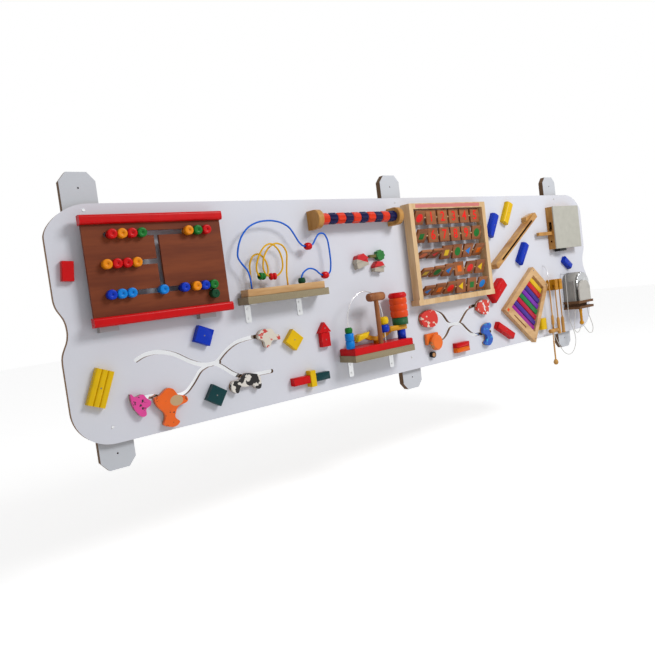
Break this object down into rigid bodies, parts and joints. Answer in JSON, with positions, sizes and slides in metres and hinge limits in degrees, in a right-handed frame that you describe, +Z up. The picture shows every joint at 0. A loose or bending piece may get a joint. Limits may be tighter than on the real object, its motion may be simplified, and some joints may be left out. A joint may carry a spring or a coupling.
{
  "type": "wall busy board",
  "caption": "Long white wall panel on three battens, carrying wooden and wire play pieces that slide, spin and turn.",
  "frame": {"origin": "centre of the wall face, at the back of the middle batten", "axes": "+X along the board, +Y into the wall, +Z up"},
  "size_m": [2.428, 0.1265, 0.849],
  "materials": {
    "white_laminate": "matt laminate",
    "mirror_strip": "polished",
    "white_batten": "matt laminate",
    "stained_ply": "satin stain",
    "red_lacquer": "gloss lacquer",
    "orange_lacquer": "gloss lacquer",
    "sky_lacquer": "gloss lacquer",
    "blue_lacquer": "gloss lacquer",
    "dark_green_lacquer": "gloss lacquer",
    "raw_ply": "raw edge",
    "zinc_steel": "zinc plated",
    "pine": "clear varnish",
    "blue_wire": "powder coat",
    "yellow_wire": "powder coat",
    "honey_wood": "clear varnish",
    "orange_red_plastic": "gloss",
    "navy_plastic": "gloss",
    "brown_wood": "clear varnish",
    "ochre_wood": "gloss lacquer",
    "orange_red_lacquer": "gloss lacquer",
    "pink_paint": "painted",
    "orange_paint": "painted",
    "cream_paint": "painted",
    "yellow_lacquer": "gloss lacquer",
    "pale_cover": "matt paint",
    "coloured_bars": "painted",
    "grey_housing": "matt",
    "disc_metal": "cast",
    "white_cord": "braided",
    "brown_tile": "satin stain"
  },
  "bodies": {
    "board": {"board_panel": "white_laminate", "track_mirrors": "mirror_strip", "wall_battens": "white_batten", "slot_plate": "stained_ply", "slot_rails": "red_lacquer", "slot_spacers": "white_batten", "ply_shelves": "raw_ply", "brackets_and_screws": "zinc_steel", "maze_base": "pine", "maze_wire_blue": "blue_wire", "maze_wire_yellow": "yellow_wire", "roller_stand": "honey_wood", "toy_base": "red_lacquer", "toy_post": "brown_wood", "toy_wire": "zinc_steel", "toy_arm": "ochre_wood", "toy_tower": "orange_red_lacquer", "blocks_red": "red_lacquer", "blocks_yellow": "yellow_lacquer", "blocks_blue": "blue_lacquer", "slotted_stick": "honey_wood", "box_body": "honey_wood", "box_cover": "pale_cover", "xylophone_frame": "pine", "xylophone_bars": "coloured_bars", "tile_frame": "pine", "spinner_housing": "grey_housing", "clamps_and_knob": "ochre_wood", "hanging_mallet": "honey_wood", "cord_long": "white_cord", "cord_knob": "white_cord"},
    "pegs_top_left": {"pegs_top_left": "red_lacquer"},
    "pegs_top_right": {"pegs_top_right": "orange_lacquer"},
    "pegs_middle": {"pegs_middle": "red_lacquer"},
    "pegs_low_left": {"pegs_low_left": "sky_lacquer"},
    "pegs_low_right": {"pegs_low_right": "blue_lacquer"},
    "peg_branch": {"peg_branch": "dark_green_lacquer"},
    "maze_beads_red": {"maze_beads_red": "red_lacquer"},
    "maze_bead_green": {"maze_bead_green": "dark_green_lacquer"},
    "maze_beads_yellow_wire": {"maze_beads_yellow_wire": "red_lacquer"},
    "rollers_red": {"rollers_red": "orange_red_plastic"},
    "rollers_navy": {"rollers_navy": "navy_plastic"},
    "village_figures": {"village_figures": "red_lacquer"},
    "toy_beads": {"toy_beads": "sky_lacquer"},
    "track_pig": {"track_pig": "pink_paint"},
    "track_giraffe": {"track_giraffe": "orange_paint"},
    "track_cow": {"track_cow": "cream_paint"},
    "track_horse": {"track_horse": "cream_paint"},
    "track_car": {"track_car": "red_lacquer"},
    "track_bird": {"track_bird": "red_lacquer"},
    "track_fish": {"track_fish": "blue_lacquer"},
    "track_sun": {"track_sun": "orange_paint"},
    "box_lever": {"box_lever": "honey_wood"},
    "tile_row_1": {"tile_row_1": "brown_tile"},
    "tile_row_2": {"tile_row_2": "brown_tile"},
    "tile_row_3": {"tile_row_3": "brown_tile"},
    "tile_row_4": {"tile_row_4": "brown_tile"},
    "tile_row_5": {"tile_row_5": "brown_tile"},
    "spinner_disc": {"spinner_disc": "disc_metal"},
    "hanging_sticks": {"hanging_sticks": "honey_wood"}
  },
  "joints": [
    {"name": "pegs_top_left_slide", "type": "slide", "parent": "board", "child": "pegs_top_left", "axis": [1, 0, 0], "range_m": [-0.012, 0.053]},
    {"name": "pegs_top_right_slide", "type": "slide", "parent": "board", "child": "pegs_top_right", "axis": [1, 0, 0], "range_m": [-0.053, 0.012]},
    {"name": "pegs_middle_slide", "type": "slide", "parent": "board", "child": "pegs_middle", "axis": [1, 0, 0], "range_m": [-0.002, 0.06]},
    {"name": "pegs_low_left_slide", "type": "slide", "parent": "board", "child": "pegs_low_left", "axis": [1, 0, 0], "range_m": [-0.003, 0.0175]},
    {"name": "pegs_low_right_slide", "type": "slide", "parent": "board", "child": "pegs_low_right", "axis": [1, 0, 0], "range_m": [-0.0175, 0.003]},
    {"name": "peg_branch_slide", "type": "slide", "parent": "board", "child": "peg_branch", "axis": [0, 0, 1], "range_m": [-0.003, 0]},
    {"name": "maze_beads_red_slide", "type": "slide", "parent": "board", "child": "maze_beads_red", "axis": [1, 0, 0], "range_m": [-0.001, 0.001]},
    {"name": "maze_bead_green_slide", "type": "slide", "parent": "board", "child": "maze_bead_green", "axis": [0, 0, 1], "range_m": [0, 0.004]},
    {"name": "maze_beads_yellow_wire_slide", "type": "slide", "parent": "board", "child": "maze_beads_yellow_wire", "axis": [1, 0, 0], "range_m": [-0.0005, 0]},
    {"name": "village_figures_slide", "type": "slide", "parent": "board", "child": "village_figures", "axis": [1, 0, 0], "range_m": [-0.012, 0.012]},
    {"name": "toy_beads_slide", "type": "slide", "parent": "board", "child": "toy_beads", "axis": [0, 0, 1], "range_m": [0, 0.005]},
    {"name": "track_pig_slide", "type": "slide", "parent": "board", "child": "track_pig", "axis": [1, 0, 0], "range_m": [-0.008, 0.006]},
    {"name": "track_giraffe_slide", "type": "slide", "parent": "board", "child": "track_giraffe", "axis": [1, 0, 0], "range_m": [-0.004, 0.015]},
    {"name": "track_cow_slide", "type": "slide", "parent": "board", "child": "track_cow", "axis": [1, 0, 0], "range_m": [0, 0.075]},
    {"name": "track_horse_slide", "type": "slide", "parent": "board", "child": "track_horse", "axis": [1, 0, 0], "range_m": [-0.022, 0.006]},
    {"name": "track_car_slide", "type": "slide", "parent": "board", "child": "track_car", "axis": [1, 0, 0], "range_m": [-0.018, 0.03]},
    {"name": "track_bird_slide", "type": "slide", "parent": "board", "child": "track_bird", "axis": [1, 0, 0], "range_m": [-0.024, 0.012]},
    {"name": "track_fish_slide", "type": "slide", "parent": "board", "child": "track_fish", "axis": [1, 0, 0], "range_m": [-0.04, 0.022]},
    {"name": "track_sun_slide", "type": "slide", "parent": "board", "child": "track_sun", "axis": [1, 0, 0], "range_m": [-0.02, 0.036]},
    {"name": "box_lever_slide", "type": "slide", "parent": "board", "child": "box_lever", "axis": [0, 0, 1], "range_m": [0, 0.04]},
    {"name": "rollers_red_turn", "type": "hinge", "parent": "board", "child": "rollers_red", "pos_m": [-0.2, -0.08, 0.246], "axis": [1, 0, 0], "continuous": true},
    {"name": "rollers_navy_turn", "type": "hinge", "parent": "board", "child": "rollers_navy", "pos_m": [-0.2, -0.08, 0.246], "axis": [1, 0, 0], "continuous": true},
    {"name": "tile_row_1_turn", "type": "hinge", "parent": "board", "child": "tile_row_1", "pos_m": [0.2345, -0.069, 0.237], "axis": [1, 0, 0], "continuous": true},
    {"name": "tile_row_2_turn", "type": "hinge", "parent": "board", "child": "tile_row_2", "pos_m": [0.2345, -0.069, 0.1692], "axis": [1, 0, 0], "continuous": true},
    {"name": "tile_row_3_turn", "type": "hinge", "parent": "board", "child": "tile_row_3", "pos_m": [0.2345, -0.069, 0.1014], "axis": [1, 0, 0], "continuous": true},
    {"name": "tile_row_4_turn", "type": "hinge", "parent": "board", "child": "tile_row_4", "pos_m": [0.2345, -0.069, 0.0336], "axis": [1, 0, 0], "continuous": true},
    {"name": "tile_row_5_turn", "type": "hinge", "parent": "board", "child": "tile_row_5", "pos_m": [0.2345, -0.069, -0.0342], "axis": [1, 0, 0], "continuous": true},
    {"name": "spinner_disc_turn", "type": "hinge", "parent": "board", "child": "spinner_disc", "pos_m": [1.062, -0.102, -0.1], "axis": [0, 1, 0], "continuous": true},
    {"name": "hanging_sticks_turn", "type": "hinge", "parent": "board", "child": "hanging_sticks", "pos_m": [0.9035, -0.075, -0.098], "axis": [1, 0, 0], "range_deg": [-6, 6]}
  ]
}
